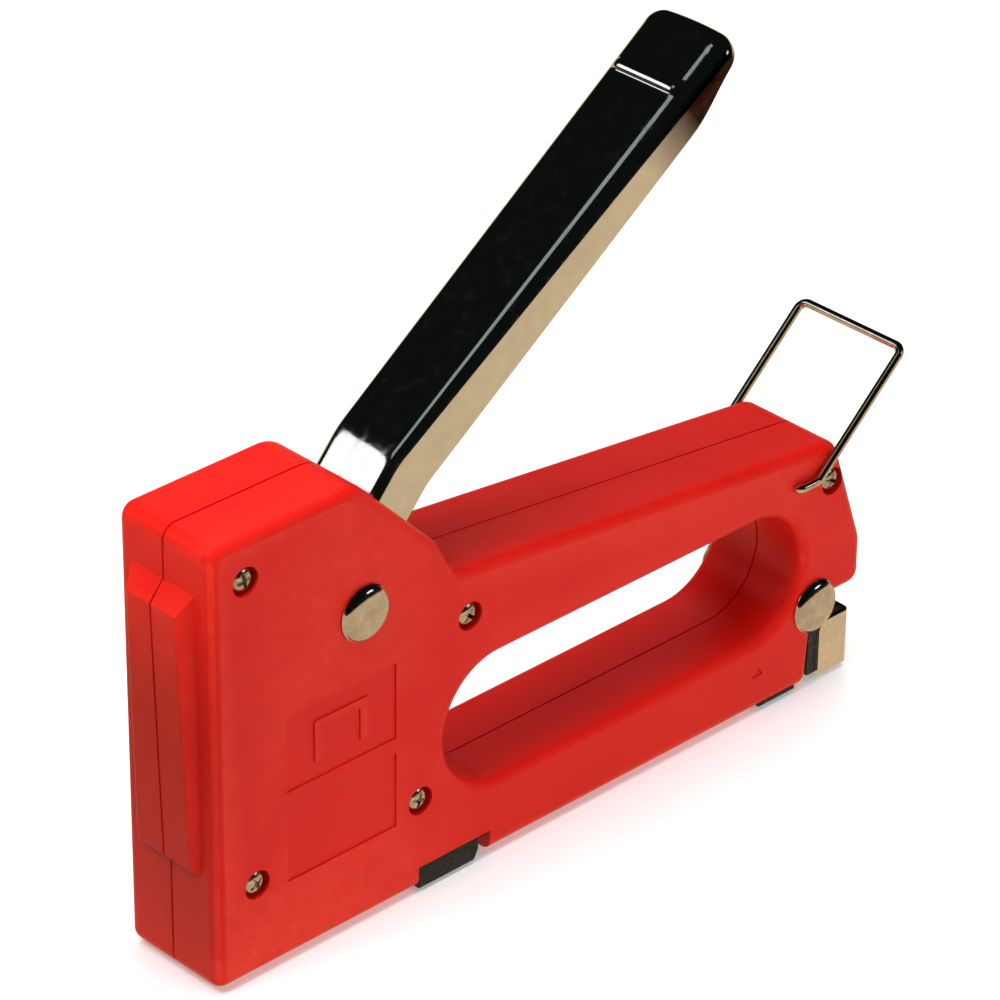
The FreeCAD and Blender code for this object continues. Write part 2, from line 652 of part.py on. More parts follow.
def magazine_end_clip():
    """Steel clip folded round the end block."""
    outside = box(CLIP_X, (-CLIP_HALF, CLIP_HALF), CLIP_Z)
    upright = [e for e in outside.Edges if e.BoundBox.ZLength > 5 and e.BoundBox.XMin > CLIP_X[1] - 0.1]
    outside = outside.makeFillet(CLIP_CORNER_R, upright)
    front_top = [e for e in outside.Edges
                 if e.BoundBox.YLength > 20 and e.BoundBox.XMax < CLIP_X[0] + 0.1 and e.BoundBox.ZMin > 10]
    outside = outside.makeFillet(CLIP_FRONT_R, front_top)
    inside = box((0, CLIP_X[1] - 1.0), (-END_BLOCK_HALF, END_BLOCK_HALF), (-1, 20))
    return outside.cut(inside).cut(cross_cylinder(RIVET, RIVET_R, (-HALF, HALF)))


def end_clip_rivet():
    return cross_cylinder(RIVET, RIVET_R, (-CLIP_HALF, CLIP_HALF))


# ---------------------------------------------------------------- bail
def bent_wire(points, radii):
    """Wire through the points, with an arc of the given radius at each inner point."""
    edges = []
    start = points[0]
    for before, here, after, radius in zip(points, points[1:], points[2:], radii):
        back = (before - here).normalize()
        ahead = (after - here).normalize()
        half_turn = math.acos(back.dot(ahead)) / 2
        reach = radius / math.tan(half_turn)
        middle = here + (back + ahead).normalize() * (radius / math.sin(half_turn) - radius)
        edges.append(Part.LineSegment(start, here + back * reach).toShape())
        edges.append(Part.Arc(here + back * reach, middle, here + ahead * reach).toShape())
        start = here + ahead * reach
    edges.append(Part.LineSegment(start, points[-1]).toShape())
    return Part.Wire(edges)


def bail():
    """One piece of wire: two feet in the shells, two bent arms and a cross bar with tight corners."""
    lean = math.radians(BAIL_LEAN)
    hinge = Vec(BAIL[0], 0, BAIL[1])
    elbow = hinge + Vec(BAIL_KICK, 0, 0)
    top = elbow + Vec(math.cos(lean), 0, math.sin(lean)) * BAIL_ARM
    foot = Vec(0, HALF - BAIL_FOOT, 0)
    arm = Vec(0, BAIL_HALF, 0)
    near = [hinge - foot, hinge - arm, elbow - arm, top - arm]
    points = near + [Vec(v.x, -v.y, v.z) for v in reversed(near)]
    radii = [BAIL_ANKLE_R, BAIL_KICK_R, BAIL_CORNER_R, BAIL_CORNER_R, BAIL_KICK_R, BAIL_ANKLE_R]
    section = Part.Wire(Part.makeCircle(BAIL_WIRE_R, points[0], Vec(0, 1, 0)))
    return bent_wire(points, radii).makePipeShell([section], True, False)


# ---------------------------------------------------------------- nodes
NODES = {
    "left_housing": left_housing,
    "right_housing": right_housing,
    "housing_screws": housing_screws,
    "lever": lever,
    "lever_pivot_pin": lambda: domed_pin(PIVOT, PIVOT_PIN_R),
    "lever_pivot_cap": lambda: pin_cap(PIVOT),
    "lever_pivot_sleeve": lever_pivot_sleeve,
    "lever_return_spring": lever_return_spring,
    "rear_catch_pin": lambda: domed_pin(CATCH, CATCH_PIN_R),
    "rear_catch_cap": lambda: pin_cap(CATCH),
    "bail": bail,
    "front_plate": front_plate,
    "driver_blade": driver_blade,
    "hammer": hammer,
    "hammer_lift_pin": hammer_lift_pin,
    "main_spring": main_spring,
    "main_spring_seat": main_spring_seat,
    "bumper": bumper,
    "magazine_channel": magazine_channel,
    "staple_rail": staple_rail,
    "follower": follower,
    "pusher_rod": pusher_rod,
    "pusher_rod_nut": pusher_rod_nut,
    "pusher_spring": pusher_spring,
    "magazine_end_block": magazine_end_block,
    "magazine_end_clip": magazine_end_clip,
    "end_clip_rivet": end_clip_rivet,
}

os.makedirs("parts", exist_ok=True)
for name, make in NODES.items():
    shape = make()
    shape.exportStep("parts/" + name + ".step")
    bounds = shape.BoundBox
    print(f"{name:22s} solids {len(shape.Solids)} valid {shape.isValid()} volume {shape.Volume:9.1f} "
          f"x {bounds.XMin:7.1f} {bounds.XMax:7.1f} y {bounds.YMin:6.1f} {bounds.YMax:6.1f} "
          f"z {bounds.ZMin:6.1f} {bounds.ZMax:6.1f}")
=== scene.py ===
"""Looks of the staple gun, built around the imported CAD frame: mesh code in mm, objects in metres."""
import json
import math

import bmesh
import bpy
from mathutils import Matrix, Vector


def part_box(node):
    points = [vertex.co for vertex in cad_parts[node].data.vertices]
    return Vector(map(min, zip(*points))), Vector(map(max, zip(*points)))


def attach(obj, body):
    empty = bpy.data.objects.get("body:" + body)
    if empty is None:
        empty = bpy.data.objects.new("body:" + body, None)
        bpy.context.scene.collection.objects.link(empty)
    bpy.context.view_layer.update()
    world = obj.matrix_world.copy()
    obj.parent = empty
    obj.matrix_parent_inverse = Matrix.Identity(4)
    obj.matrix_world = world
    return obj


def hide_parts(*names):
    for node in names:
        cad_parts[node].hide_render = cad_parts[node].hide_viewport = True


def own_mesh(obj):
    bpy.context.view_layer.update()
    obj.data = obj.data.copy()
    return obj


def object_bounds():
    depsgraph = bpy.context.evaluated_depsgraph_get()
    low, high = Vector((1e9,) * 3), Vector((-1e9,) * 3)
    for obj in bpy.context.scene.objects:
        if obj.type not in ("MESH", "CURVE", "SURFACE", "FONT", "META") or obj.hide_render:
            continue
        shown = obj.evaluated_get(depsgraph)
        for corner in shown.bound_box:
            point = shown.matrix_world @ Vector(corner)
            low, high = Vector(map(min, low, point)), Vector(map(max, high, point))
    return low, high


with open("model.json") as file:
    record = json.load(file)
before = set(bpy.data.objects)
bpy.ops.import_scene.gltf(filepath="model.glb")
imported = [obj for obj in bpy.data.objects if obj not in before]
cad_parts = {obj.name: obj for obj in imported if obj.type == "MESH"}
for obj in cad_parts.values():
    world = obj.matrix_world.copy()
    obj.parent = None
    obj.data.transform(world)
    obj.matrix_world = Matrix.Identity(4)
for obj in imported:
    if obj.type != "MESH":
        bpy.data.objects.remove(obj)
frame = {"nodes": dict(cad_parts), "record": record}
cad_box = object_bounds()
NODES = frame["nodes"]
MM = 0.001


# ---------------------------------------------------------------- places from the frame, in millimetres
def side_middle(points):
    """Middle of some points' box in the side view."""
    low_x, high_x = min(p[0] for p in points), max(p[0] for p in points)
    low_z, high_z = min(p[2] for p in points), max(p[2] for p in points)
    return (low_x + high_x) / 2 / MM, (low_z + high_z) / 2 / MM


def solid_middles(node):
    """Side-view middles of a CAD node's separate solids, from front to rear."""
    build = bmesh.new()
    build.from_mesh(NODES[node].data)
    bmesh.ops.remove_doubles(build, verts=build.verts, dist=1e-6)
    loose = set(build.verts)
    middles = []
    while loose:
        queue = [loose.pop()]
        group = []
        while queue:
            vert = queue.pop()
            group.append(tuple(vert.co))
            near = {edge.other_vert(vert) for edge in vert.link_edges} & loose
            loose -= near
            queue += near
        middles.append(side_middle(group))
    build.free()
    return sorted(middles)


SIDE_Y = -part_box("left_housing")[0][1] / MM
PIVOT = side_middle(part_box("lever_pivot_pin"))
CATCH = side_middle(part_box("rear_catch_pin"))
SCREWS = solid_middles("housing_screws")
BOX_MIDDLE = (Vector(cad_box[0]) + Vector(cad_box[1])) / 2
# Slope of the open lever's long straight part, in degrees.
LEVER_ANGLE = 35.5


# ---------------------------------------------------------------- camera
# The photograph's viewpoint, fitted to the body's straight edges.
CAMERA_AIM = BOX_MIDDLE + Vector((-6.085, 0.0, -8.635)) * MM
CAMERA_DISTANCE = 976.6 * MM
CAMERA_AZIMUTH = math.radians(-44.02)
CAMERA_ELEVATION = math.radians(30.29)
CAMERA_ROLL = math.radians(0.618)
CAMERA_LENS = 185.36


def add_camera():
    """Long-lens view from the front left, slightly above."""
    a, e = CAMERA_AZIMUTH, CAMERA_ELEVATION
    ahead = Vector((-math.sin(a) * math.cos(e), math.cos(a) * math.cos(e), -math.sin(e)))
    right = Vector((math.cos(a), math.sin(a), 0))
    up = right.cross(ahead)
    rolled_right = right * math.cos(CAMERA_ROLL) + up * math.sin(CAMERA_ROLL)
    rolled_up = up * math.cos(CAMERA_ROLL) - right * math.sin(CAMERA_ROLL)
    turn = Matrix((rolled_right, rolled_up, -ahead)).transposed()
    data = bpy.data.cameras.new("camera")
    data.lens = CAMERA_LENS
    data.sensor_width = 36.0
    data.clip_start = 0.01
    data.clip_end = 20.0
    camera = bpy.data.objects.new("camera", data)
    bpy.context.scene.collection.objects.link(camera)
    camera.matrix_world = Matrix.Translation(CAMERA_AIM - ahead * CAMERA_DISTANCE) @ turn.to_4x4()
    bpy.context.scene.camera = camera


# ---------------------------------------------------------------- materials
class Graph:
    """A material's node tree, with short calls for the nodes that these materials use."""

    def __init__(self, name):
        self.material = bpy.data.materials.new(name)
        self.material.use_nodes = True
        self.tree = self.material.node_tree
        self.tree.nodes.clear()
        output = self.tree.nodes.new("ShaderNodeOutputMaterial")
        self.shader = self.tree.nodes.new("ShaderNodeBsdfPrincipled")
        self.link(self.shader.outputs[0], output.inputs[0])
        self.place = self.tree.nodes.new("ShaderNodeTexCoord").outputs["Object"]

    def link(self, source, target):
        self.tree.links.new(source, target)

    def noise(self, scale, detail, roughness=0.5, stretch=(1, 1, 1), turn=(0, 0, 0)):
        """Noise in object space; scale times stretch is in cycles per metre."""
        mapping = self.tree.nodes.new("ShaderNodeMapping")
        mapping.inputs["Scale"].default_value = stretch
        mapping.inputs["Rotation"].default_value = turn
        self.link(self.place, mapping.inputs["Vector"])
        node = self.tree.nodes.new("ShaderNodeTexNoise")
        node.inputs["Scale"].default_value = scale
        node.inputs["Detail"].default_value = detail
        node.inputs["Roughness"].default_value = roughness
        self.link(mapping.outputs[0], node.inputs["Vector"])
        return node.outputs["Fac"]

    def ramp(self, source, low, high, first, second):
        """Colour ramp from first at low to second at high."""
        node = self.tree.nodes.new("ShaderNodeValToRGB")
        ends = node.color_ramp.elements
        ends[0].position, ends[1].position = low, high
        ends[0].color, ends[1].color = (*first, 1), (*second, 1)
        self.link(source, node.inputs[0])
        return node.outputs[0]

    def spread(self, source, low, high, to_low, to_high):
        """Maps low..high of a value to to_low..to_high."""
        node = self.tree.nodes.new("ShaderNodeMapRange")
        node.inputs["From Min"].default_value = low
        node.inputs["From Max"].default_value = high
        node.inputs["To Min"].default_value = to_low
        node.inputs["To Max"].default_value = to_high
        self.link(source, node.inputs["Value"])
        return node.outputs["Result"]

    def combine(self, operation, first, second):
        """Math node on two values."""
        node = self.tree.nodes.new("ShaderNodeMath")
        node.operation = operation
        self.link(first, node.inputs[0])
        self.link(second, node.inputs[1])
        return node.outputs[0]

    def blend(self, amount, first, second):
        """Mixes two colours by a value."""
        node = self.tree.nodes.new("ShaderNodeMix")
        node.data_type = "RGBA"
        self.link(amount, node.inputs["Factor"])
        self.link(first, node.inputs["A"])
        self.link(second, node.inputs["B"])
        return node.outputs["Result"]

    def edges(self, low, high):
        """One on outer edges and zero on flats and in hollows."""
        pointed = self.tree.nodes.new("ShaderNodeNewGeometry").outputs["Pointiness"]
        return self.spread(pointed, low, high, 0.0, 1.0)

    def along(self, direction):
        """How far a point lies along a direction, in metres."""
        node = self.tree.nodes.new("ShaderNodeVectorMath")
        node.operation = "DOT_PRODUCT"
        self.link(self.place, node.inputs[0])
        node.inputs[1].default_value = direction
        return node.outputs["Value"]

    def sideways(self, low, high):
        """Zero to one as a face turns to the left or right: low and high are sizes of its normal's Y."""
        split = self.tree.nodes.new("ShaderNodeSeparateXYZ")
        self.link(self.tree.nodes.new("ShaderNodeTexCoord").outputs["Normal"], split.inputs[0])
        size = self.tree.nodes.new("ShaderNodeMath")
        size.operation = "ABSOLUTE"
        self.link(split.outputs["Y"], size.inputs[0])
        return self.spread(size.outputs[0], low, high, 0.0, 1.0)

    def scratches(self, along, across, low, high):
        """One on thin scratches: stretched noise, broken up by a second noise."""
        lines = self.noise(1.0, 3, 0.6, along)
        breaks = self.noise(1.0, 2, 0.5, across)
        patches = self.spread(breaks, 0.45, 0.6, 0, 1)
        return self.combine("MULTIPLY", self.spread(lines, low, high, 0, 1), patches)

    def colour(self, source):
        """Base colour from a node."""
        self.link(source, self.shader.inputs["Base Color"])

    def rough(self, source):
        """Roughness from a node."""
        self.link(source, self.shader.inputs["Roughness"])

    def set(self, **values):
        """Plain values on the shader's own sockets."""
        for key, value in values.items():
            self.shader.inputs[key.replace("_", " ")].default_value = value

    def bump(self, source, strength, distance):
        """Bump from a height; distance is in metres."""
        node = self.tree.nodes.new("ShaderNodeBump")
        node.inputs["Strength"].default_value = strength
        node.inputs["Distance"].default_value = distance
        self.link(source, node.inputs["Height"])
        self.link(node.outputs[0], self.shader.inputs["Normal"])


def red_plastic():
    """Moulded semi-gloss plastic: faint clouds, fine grain, lighter edges that are partly rubbed wear and
    partly a painted highlight, and a few hairline scuffs.
    """
    g = Graph("red_plastic")
    g.set(IOR=1.46, Specular_IOR_Level=0.32, Specular_Tint=(1.0, 0.26, 0.2, 1.0))
    clouds = g.ramp(g.noise(55, 3), 0.3, 0.7, (0.625, 0.0085, 0.0055), (0.665, 0.0115, 0.007))
    # Lighter orange on outer edges: partly rubbed wear, partly a painted highlight along the edges.
    rubbed = g.ramp(g.noise(800, 3), 0.3, 0.7, (0.74, 0.030, 0.016), (0.80, 0.045, 0.024))
    g.colour(g.blend(g.combine("MULTIPLY", g.edges(0.53, 0.62), g.noise(300, 3)), clouds, rubbed))
    scuffs = g.scratches((90, 2600, 90), (160, 160, 160), 0.66, 0.72)
    grain = g.spread(g.noise(1100, 4), 0.3, 0.7, 0.31, 0.41)
    g.rough(g.combine("ADD", grain, g.spread(scuffs, 0, 1, 0, 0.2)))
    g.bump(g.combine("ADD", g.noise(2400, 3), g.spread(g.noise(160, 2), 0, 1, 0, 2.5)), 0.10, 0.00005)
    return g.material


# Distances from the origin along the open lever between which its sides get a painted dark reflection, dark
# reddish-brown, in metres.
DARK_REFLECTION_START = 0.164
DARK_REFLECTION_END = 0.178


def chrome():
    """Bright plate: hairlines along the lever, dull spots, slight orange peel, and a painted dark
    reflection on the sides beside the tip.
    """
    slope = math.radians(LEVER_ANGLE)
    g = Graph("chrome")
    g.set(Metallic=1.0)
    plate = g.ramp(g.noise(260, 4), 0.35, 0.75, (0.87, 0.88, 0.88), (0.79, 0.80, 0.795))
    # Painted dark reflection: near-black reddish-brown colour on the sideways faces near the tip.
    painted_dark_reflection = g.ramp(g.noise(500, 4), 0.3, 0.7, (0.02, 0.008, 0.006), (0.06, 0.022, 0.016))
    from_nose = g.along((math.cos(slope), 0, math.sin(slope)))
    to_tip = g.spread(from_nose, DARK_REFLECTION_START, DARK_REFLECTION_END, 0, 1)
    dark_reflection_mask = g.combine("MULTIPLY", to_tip, g.sideways(0.75, 0.92))
    g.colour(g.blend(dark_reflection_mask, plate, painted_dark_reflection))
    hairs = g.noise(1.0, 3, 0.6, (60, 3500, 3500), (0, -slope, 0))
    dull = g.spread(g.noise(420, 5), 0.5, 0.75, 0.0, 0.12)
    g.rough(g.combine("ADD", g.spread(hairs, 0.55, 0.75, 0.075, 0.18), dull))
    g.bump(g.noise(190, 2), 0.06, 0.00012)
    return g.material


def plated(name, light, dark, rough):
    """Plated steel: patches of a warmer tone, fine grain in its gloss, and tiny dents."""
    g = Graph(name)
    g.set(Metallic=1.0)
    patches = g.ramp(g.noise(330, 5, 0.6), 0.36, 0.66, dark, light)
    rubbed = g.ramp(g.noise(900, 2), 0.3, 0.7, light, [min(1.0, c * 1.15) for c in light])
    g.colour(g.blend(g.edges(0.52, 0.6), patches, rubbed))
    g.rough(g.spread(g.noise(1500, 4), 0.3, 0.7, rough * 0.7, rough * 1.5))
    g.bump(g.noise(900, 4), 0.10, 0.00006)
    return g.material


def coated(name, rough, grey, grain):
    """Black enamel, plastic or rubber: near-black with lighter rubbed edges."""
    g = Graph(name)
    g.set(Specular_IOR_Level=0.15)
    body = g.ramp(g.noise(300, 4), 0.3, 0.7, [grey * 0.6] * 3, [grey * 1.3] * 3)
    rubbed = g.ramp(g.noise(1500, 3), 0.4, 0.6, [grey * 2] * 3, [grey * 5] * 3)
    g.colour(g.blend(g.edges(0.53, 0.63), body, rubbed))
    g.rough(g.spread(g.noise(1200, 4), 0.3, 0.7, rough * 0.8, rough * 1.2))
    g.bump(g.noise(grain, 3), 0.2, 0.00004)
    return g.material


MATERIALS = {
    "red_plastic": red_plastic(),
    "chrome": chrome(),
    "nickel": plated("nickel", (0.80, 0.77, 0.74), (0.62, 0.58, 0.54), 0.11),
    "zinc": plated("zinc", (0.80, 0.76, 0.70), (0.52, 0.47, 0.41), 0.17),
    "spring_steel": plated("spring_steel", (0.34, 0.34, 0.35), (0.2, 0.19, 0.18), 0.28),
    "tool_steel": plated("tool_steel", (0.46, 0.46, 0.47), (0.3, 0.29, 0.28), 0.33),
    "black_steel": coated("black_steel", 0.42, 0.006, 2600),
    "black_plastic": coated("black_plastic", 0.5, 0.012, 3400),
    "rubber": coated("rubber", 0.8, 0.016, 1800),
}


def dress_cad():
    """Gives every CAD node the material of its slot."""
    for part in frame["record"]["subparts"]:
        node = NODES[part["node"]]
        node.data.materials.clear()
        node.data.materials.append(MATERIALS[part["material_slot"]])


# ---------------------------------------------------------------- mesh helpers
def add_piece(name, build, body, slot, replaced, sharp):
    """Turns a bmesh in millimetres into a piece on a body, smooth up to an angle, in a node's place."""
    bmesh.ops.scale(build, vec=(MM, MM, MM), verts=build.verts)
    bmesh.ops.recalc_face_normals(build, faces=build.faces)
    mesh = bpy.data.meshes.new(name)
    build.to_mesh(mesh)
    build.free()
    mesh.polygons.foreach_set("use_smooth", [True] * len(mesh.polygons))
    mesh.set_sharp_from_angle(angle=math.radians(sharp))
    piece = bpy.data.objects.new(name, mesh)
    bpy.context.scene.collection.objects.link(piece)
    mesh.materials.append(MATERIALS[slot])
    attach(piece, body)
    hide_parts(replaced)
    return piece


def lathe(build, profile, place, side, segments=64):
    """Turns (radius, height) points round an axis along Y; heights grow outwards from the side wall."""
    rings = []
    for radius, height in profile:
        y = side * (SIDE_Y + height)
        if radius < 1e-6:
            rings.append([build.verts.new((place[0], y, place[1]))])
            continue
        turns = [2 * math.pi * k / segments for k in range(segments)]
        rings.append([build.verts.new((place[0] + radius * math.cos(t), y, place[1] + radius * math.sin(t)))
                      for t in turns])
    for lower, upper in zip(rings, rings[1:]):
        for k in range(segments):
            quad = [lower[k % len(lower)], lower[(k + 1) % len(lower)],
                    upper[(k + 1) % len(upper)], upper[k % len(upper)]]
            build.faces.new(list(dict.fromkeys(quad)))


def arc(centre, radius, first, last, steps):
    """Points on an arc, with angles in degrees."""
    turns = [math.radians(first + (last - first) * k / steps) for k in range(steps + 1)]
    return [(centre[0] + radius * math.cos(t), centre[1] + radius * math.sin(t)) for t in turns]


# ---------------------------------------------------------------- domed pins and caps
DOME_LOW, DOME_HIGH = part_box("lever_pivot_cap")
DOME_R = (DOME_HIGH[0] - DOME_LOW[0]) / 2 / MM
DOME_INSIDE_BOX = 0.02
DOME_H = DOME_HIGH[1] / MM - SIDE_Y - DOME_INSIDE_BOX
DOME_ROWS = 18
# The dome stands on a lip with rounded edges, and starts a little inside its rim.
DOME_LIP = 0.45
LIP_EDGE = 0.1
LIP_TOP = 0.12
DOME_INSET = 0.25
PIN_CHAMFER = 0.3
PINS = {"lever_pivot_pin": (PIVOT, 3.0), "rear_catch_pin": (CATCH, 2.0)}
CAPS = {"lever_pivot_cap": PIVOT, "rear_catch_cap": CATCH}


def dome_profile():
    """Lip and dome, from the hidden face's rim to the crown."""
    lip = [(DOME_R - LIP_EDGE, 0.0), (DOME_R, LIP_EDGE)]
    lip += [(DOME_R, DOME_LIP - LIP_EDGE), (DOME_R - LIP_TOP, DOME_LIP)]
    reach = DOME_R - DOME_INSET
    turns = [math.radians(90 * (k / DOME_ROWS) ** 0.85) for k in range(1, DOME_ROWS)]
    crown = [(reach * math.cos(t), DOME_LIP + (DOME_H - DOME_LIP) * math.sin(t)) for t in turns]
    return lip + crown + [(0.0, DOME_H)]


def add_domes():
    """Domed pins on the left, with their shanks, and pressed-on caps on the right."""
    for name, (place, shank) in PINS.items():
        build = bmesh.new()
        end = -2 * SIDE_Y
        stem = [(0.0, end), (shank - PIN_CHAMFER, end), (shank, end + PIN_CHAMFER)]
        stem += [(shank, -PIN_CHAMFER), (shank, 0.0)]
        lathe(build, stem + dome_profile(), place, -1)
        add_piece(name + "_turned", build, "housing", "nickel", name, sharp=50)
    for name, place in CAPS.items():
        build = bmesh.new()
        lathe(build, [(0.0, 0.0)] + dome_profile(), place, 1)
        add_piece(name + "_pressed", build, "housing", "nickel", name, sharp=50)


# ---------------------------------------------------------------- screws
# Turn of each cross recess, from front to rear, in degrees.
SCREW_TURNS = [12, 30, 75, 48, 62]
SHANK_R = 1.45
SHANK_LENGTH = 15.0
SHANK_END_R = 1.0
SHANK_TAPER = 0.8
# Heights are counted outwards from the side wall, so a sunk head's top is below zero.
HEAD_R = 2.65
HEAD_TOP = -0.15
HEAD_H = 2.15
HEAD_CROWN = 1.45
HEAD_EDGE = 0.1
RECESS_WIDE = 0.42
RECESS_LONG = 1.75
RECESS_DEEP = 1.3
RECESS_SOFTENING = 0.06
# Height of the cutter over the head, and its size there and at the bottom as shares of the recess.
CUTTER_ABOVE = 0.4
CUTTER_TOP_SHARE = 1.12
CUTTER_BOTTOM_SHARE = 0.55


def screw_profile():
    """Domed pan head on a plain shank."""
    low = HEAD_TOP - HEAD_H
    end = low - SHANK_LENGTH
    stem = [(0.0, end), (SHANK_END_R, end), (SHANK_R, end + SHANK_TAPER), (SHANK_R, low)]
    rim = [(HEAD_R - HEAD_EDGE, low), (HEAD_R, low + HEAD_EDGE)]
    turns = [math.radians(7.5 * k) for k in range(12)]
    crown = [(HEAD_R * math.cos(t), HEAD_TOP - HEAD_CROWN * (1 - math.sin(t))) for t in turns]
    return stem + rim + crown + [(0.0, HEAD_TOP)]


def cross_cutter(place, turn):
    """Tapered cross that is cut from a screw's head."""
    build = bmesh.new()
    loops = []
    top = (HEAD_TOP + CUTTER_ABOVE, CUTTER_TOP_SHARE)
    bottom = (HEAD_TOP - RECESS_DEEP, CUTTER_BOTTOM_SHARE)
    for height, share in (top, bottom):
        wide, long = RECESS_WIDE * (share * 0.5 + 0.5), RECESS_LONG * share
        ring = []
        for quarter in range(4):
            t = math.radians(turn + 90 * quarter)
            for along, across in ((wide, -wide), (long, -wide), (long, wide)):
                x = along * math.cos(t) - across * math.sin(t)
                z = along * math.sin(t) + across * math.cos(t)
                ring.append(build.verts.new((place[0] + x, -SIDE_Y - height, place[1] + z)))
        loops.append(ring)
    outer, inner = loops
    count = len(outer)
    for k in range(count):
        build.faces.new((outer[k], outer[(k + 1) % count], inner[(k + 1) % count], inner[k]))
    build.faces.new(outer)
    build.faces.new(inner[::-1])
    bmesh.ops.recalc_face_normals(build, faces=build.faces)
    mesh = bpy.data.meshes.new("cross")
    build.to_mesh(mesh)
    build.free()
    cutter = bpy.data.objects.new("cross", mesh)
    bpy.context.scene.collection.objects.link(cutter)
    return cutter


def add_screws():
    """Five screws, each with its own turn of the cross recess."""
    whole = bmesh.new()
    for place, turn in zip(SCREWS, SCREW_TURNS):
        build = bmesh.new()
        lathe(build, screw_profile(), place, -1, 48)
        bmesh.ops.recalc_face_normals(build, faces=build.faces)
        mesh = bpy.data.meshes.new("screw")
        build.to_mesh(mesh)
        build.free()
        screw = bpy.data.objects.new("screw", mesh)
        bpy.context.scene.collection.objects.link(screw)
        cutter = cross_cutter(place, turn)
        cut = screw.modifiers.new("cut", "BOOLEAN")
        cut.operation = "DIFFERENCE"
        cut.solver = "EXACT"
        cut.object = cutter
        soften = screw.modifiers.new("soften", "BEVEL")
        soften.width = RECESS_SOFTENING
        soften.segments = 2
        soften.limit_method = "ANGLE"
        soften.angle_limit = math.radians(40)
        finished = screw.evaluated_get(bpy.context.evaluated_depsgraph_get())
        whole.from_mesh(finished.to_mesh())
        finished.to_mesh_clear()
        bpy.data.objects.remove(screw)
        bpy.data.objects.remove(cutter)
    add_piece("cross_recess_screws", whole, "housing", "zinc", "housing_screws", sharp=35)


# ---------------------------------------------------------------- lever
# The sheet follows a line that bends at the kink, and s is the distance from the kink along it.
BASE_ANGLE = 49.0
KINK = Vector((PIVOT[0] + 11.7, 0.0, PIVOT[1] + 26.1))
KINK_R = 20.0
LEVER_START = -12.0
LEVER_END = 102.0
END_CROWN = 0.7
SHEET = 1.2
RIM_R = 0.35
RIM_GAP = 0.05
TOP_CROWN = 0.25
BASE_HALF = 8.9
TIP_HALF = 11.2
# The sides lose a little depth as far as TAPER_END, and more between SWEEP_START and SWEEP_END.
BASE_DEPTH = 10.9
TAPER_LOSS = 2.5
TAPER_END = 86.0
SWEEP_LOSS = 3.8
SWEEP_START = 84.0
SWEEP_END = 101.0
BASE_EDGE_R = 2.2
TIP_EDGE_R = 4.4
END_EDGE_R = 3.0
CORNER_R = 4.2
SPINE_END = LEVER_END - CORNER_R - 4.0
RIDGE_AT = 87.8
RIDGE_R = 1.9
RIDGE_SUNK = 1.2
RIDGE_HALF = 9.3
CHEEK_R = 7.0
CHEEK_HOLE_R = 3.1
HOLE_SIDES = 32
CHEEK_FRONT_ARC = (119, 215)
CHEEK_REAR_ARC = (262, 341)
# Corners of a cheek outside its round, from the pivot, in the side view.
CHEEK_TOP_FRONT = (5.5, 15.6)
CHEEK_TOP_REAR = (12.05, 9.9)
FINGER = ((-19.9, -9.55), (-19.4, -11.9), (-6.9, -10.0))
# Rows of points along the sheet, close together at the bend and on the ridge.
ROWS_AT = [LEVER_START + k for k in range(9)]
ROWS_AT += [-3 + 0.25 * k for k in range(25)]
ROWS_AT += [3.5 + 1.5 * k for k in range(54)]
ROWS_AT += [RIDGE_AT - 2.4]
ROWS_AT += [RIDGE_AT - 1.6 + 0.2 * k for k in range(17)]
ROWS_AT += [RIDGE_AT + 2.4 + 0.9 * k for k in range(8)]


def smooth(low, high, value):
    """Eased step from 0 at low to 1 at high."""
    share = max(0.0, min(1.0, (value - low) / (high - low)))
    return share * share * (3 - 2 * share)


def lever_half(s):
    """Half of the lever's width at a distance from the kink."""
    return BASE_HALF + (TIP_HALF - BASE_HALF) * max(0.0, s) / LEVER_END


def lever_depth(s):
    """Depth of the sides: nearly even at first, then swept up to the tip."""
    taper = TAPER_LOSS * max(0.0, min(s, TAPER_END)) / TAPER_END
    return BASE_DEPTH - taper - SWEEP_LOSS * smooth(SWEEP_START, SWEEP_END, s)


def lever_edge_r(s):
    """Radius of the long edges, which grows towards the tip."""
    return BASE_EDGE_R + (TIP_EDGE_R - BASE_EDGE_R) * max(0.0, s) / LEVER_END


def lever_rise(s, y):
    """Height of the round-ended cross ridge, less a slight crown across the top."""
    side = max(0.0, abs(y) - (RIDGE_HALF - RIDGE_R))
    away = math.hypot(s - RIDGE_AT, side)
    ridge = max(0.0, math.sqrt(max(0.0, RIDGE_R ** 2 - away ** 2)) - RIDGE_SUNK)
    return ridge - TOP_CROWN * (y / lever_half(s)) ** 4


def lever_point(s, y, drop):
    """Point of the lever from distance, side and depth, round the bend at the kink."""
    bend = math.radians(BASE_ANGLE - LEVER_ANGLE)
    reach = KINK_R * math.tan(bend / 2)
    after, before = math.radians(LEVER_ANGLE), math.radians(BASE_ANGLE)
    if abs(s) >= reach:
        turn = after if s > 0 else before
        origin = KINK + Vector((math.cos(turn), 0, math.sin(turn))) * s
    else:
        turn = before + (after - before) * (s + reach) / (2 * reach)
        start = KINK - Vector((math.cos(before), 0, math.sin(before))) * reach
        centre = start + Vector((math.sin(before), 0, -math.cos(before))) * KINK_R
        origin = centre + Vector((-math.sin(turn), 0, math.cos(turn))) * KINK_R
    normal = Vector((-math.sin(turn), 0, math.cos(turn)))
    return origin + Vector((0, y, 0)) - normal * (drop - lever_rise(s, y))


